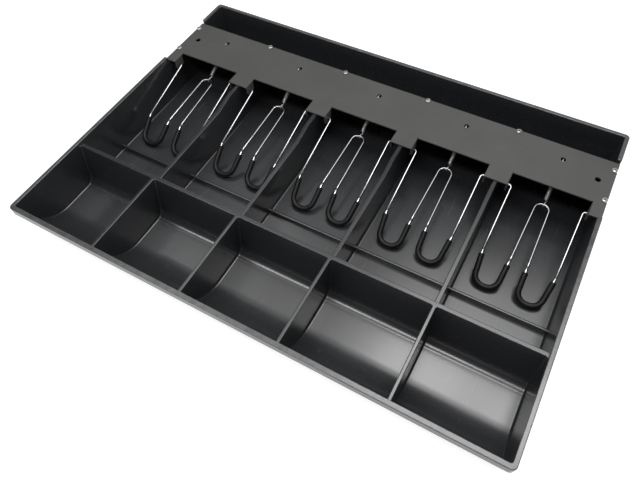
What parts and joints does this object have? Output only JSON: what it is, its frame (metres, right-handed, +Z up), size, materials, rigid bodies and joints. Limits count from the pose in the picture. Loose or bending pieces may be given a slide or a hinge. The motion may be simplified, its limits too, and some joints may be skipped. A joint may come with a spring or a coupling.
{
  "type": "cash drawer insert",
  "caption": "Cash drawer insert: a moulded tray with scooped coin cups, note compartments under sprung wire clips that lift, and a steel plate over the rear.",
  "frame": {"origin": "middle of the tray's footprint, on its underside", "axes": "+X to the right seen from the front, -Y to the front where the coin cups are, +Z up"},
  "size_m": [0.391, 0.281, 0.043],
  "materials": {
    "black_plastic": "black injection-moulded styrene, slightly glossy",
    "grey_paint": "grey paint on sheet steel, satin",
    "screw_steel": "bright zinc plating",
    "clip_wire": "bright chromed steel wire",
    "black_sleeve": "soft black vinyl",
    "spring_steel": "bright music wire"
  },
  "bodies": {
    "tray": {"tray": "black_plastic", "cover_plate": "grey_paint", "rear_cover_screws": "screw_steel", "end_cover_screws": "screw_steel"},
    "note_clip_1": {"note_clip_wire_1": "clip_wire", "left_sleeve_1": "black_sleeve", "right_sleeve_1": "black_sleeve"},
    "spring_1": {"clip_spring_1": "spring_steel"},
    "note_clip_2": {"note_clip_wire_2": "clip_wire", "left_sleeve_2": "black_sleeve", "right_sleeve_2": "black_sleeve"},
    "spring_2": {"clip_spring_2": "spring_steel"},
    "note_clip_3": {"note_clip_wire_3": "clip_wire", "left_sleeve_3": "black_sleeve", "right_sleeve_3": "black_sleeve"},
    "spring_3": {"clip_spring_3": "spring_steel"},
    "note_clip_4": {"note_clip_wire_4": "clip_wire", "left_sleeve_4": "black_sleeve", "right_sleeve_4": "black_sleeve"},
    "spring_4": {"clip_spring_4": "spring_steel"},
    "note_clip_5": {"note_clip_wire_5": "clip_wire", "left_sleeve_5": "black_sleeve", "right_sleeve_5": "black_sleeve"},
    "spring_5": {"clip_spring_5": "spring_steel"}
  },
  "joints": [
    {"name": "note_clip_lift_1", "type": "hinge", "parent": "tray", "child": "note_clip_1", "pos_m": [-0.1564, 0.0591, 0.0333], "axis": [-1, 0, 0], "range_deg": [0, 105], "stiffness_Nm_per_rad": 0.004, "springref_deg": -143.24, "deforming": ["clip_spring_1"]},
    {"name": "clip_spring_swing_1", "type": "hinge", "parent": "note_clip_1", "child": "spring_1", "pos_m": [-0.1564, 0.0604, 0.024], "axis": [-1, 0, 0], "range_deg": [-88, 0]},
    {"name": "note_clip_lift_2", "type": "hinge", "parent": "tray", "child": "note_clip_2", "pos_m": [-0.0782, 0.0591, 0.0333], "axis": [-1, 0, 0], "range_deg": [0, 105], "stiffness_Nm_per_rad": 0.004, "springref_deg": -143.24, "deforming": ["clip_spring_2"]},
    {"name": "clip_spring_swing_2", "type": "hinge", "parent": "note_clip_2", "child": "spring_2", "pos_m": [-0.0782, 0.0604, 0.024], "axis": [-1, 0, 0], "range_deg": [-88, 0]},
    {"name": "note_clip_lift_3", "type": "hinge", "parent": "tray", "child": "note_clip_3", "pos_m": [0, 0.0591, 0.0333], "axis": [-1, 0, 0], "range_deg": [0, 105], "stiffness_Nm_per_rad": 0.004, "springref_deg": -143.24, "deforming": ["clip_spring_3"]},
    {"name": "clip_spring_swing_3", "type": "hinge", "parent": "note_clip_3", "child": "spring_3", "pos_m": [0, 0.0604, 0.024], "axis": [-1, 0, 0], "range_deg": [-88, 0]},
    {"name": "note_clip_lift_4", "type": "hinge", "parent": "tray", "child": "note_clip_4", "pos_m": [0.0782, 0.0591, 0.0333], "axis": [-1, 0, 0], "range_deg": [0, 105], "stiffness_Nm_per_rad": 0.004, "springref_deg": -143.24, "deforming": ["clip_spring_4"]},
    {"name": "clip_spring_swing_4", "type": "hinge", "parent": "note_clip_4", "child": "spring_4", "pos_m": [0.0782, 0.0604, 0.024], "axis": [-1, 0, 0], "range_deg": [-88, 0]},
    {"name": "note_clip_lift_5", "type": "hinge", "parent": "tray", "child": "note_clip_5", "pos_m": [0.1564, 0.0591, 0.0333], "axis": [-1, 0, 0], "range_deg": [0, 105], "stiffness_Nm_per_rad": 0.004, "springref_deg": -143.24, "deforming": ["clip_spring_5"]},
    {"name": "clip_spring_swing_5", "type": "hinge", "parent": "note_clip_5", "child": "spring_5", "pos_m": [0.1564, 0.0604, 0.024], "axis": [-1, 0, 0], "range_deg": [-88, 0]}
  ],
  "couplings": [
    {"joint": "clip_spring_swing_1", "follows": "note_clip_lift_1", "ratio": -0.8282},
    {"joint": "clip_spring_swing_2", "follows": "note_clip_lift_2", "ratio": -0.8282},
    {"joint": "clip_spring_swing_3", "follows": "note_clip_lift_3", "ratio": -0.8282},
    {"joint": "clip_spring_swing_4", "follows": "note_clip_lift_4", "ratio": -0.8282},
    {"joint": "clip_spring_swing_5", "follows": "note_clip_lift_5", "ratio": -0.8282}
  ]
}
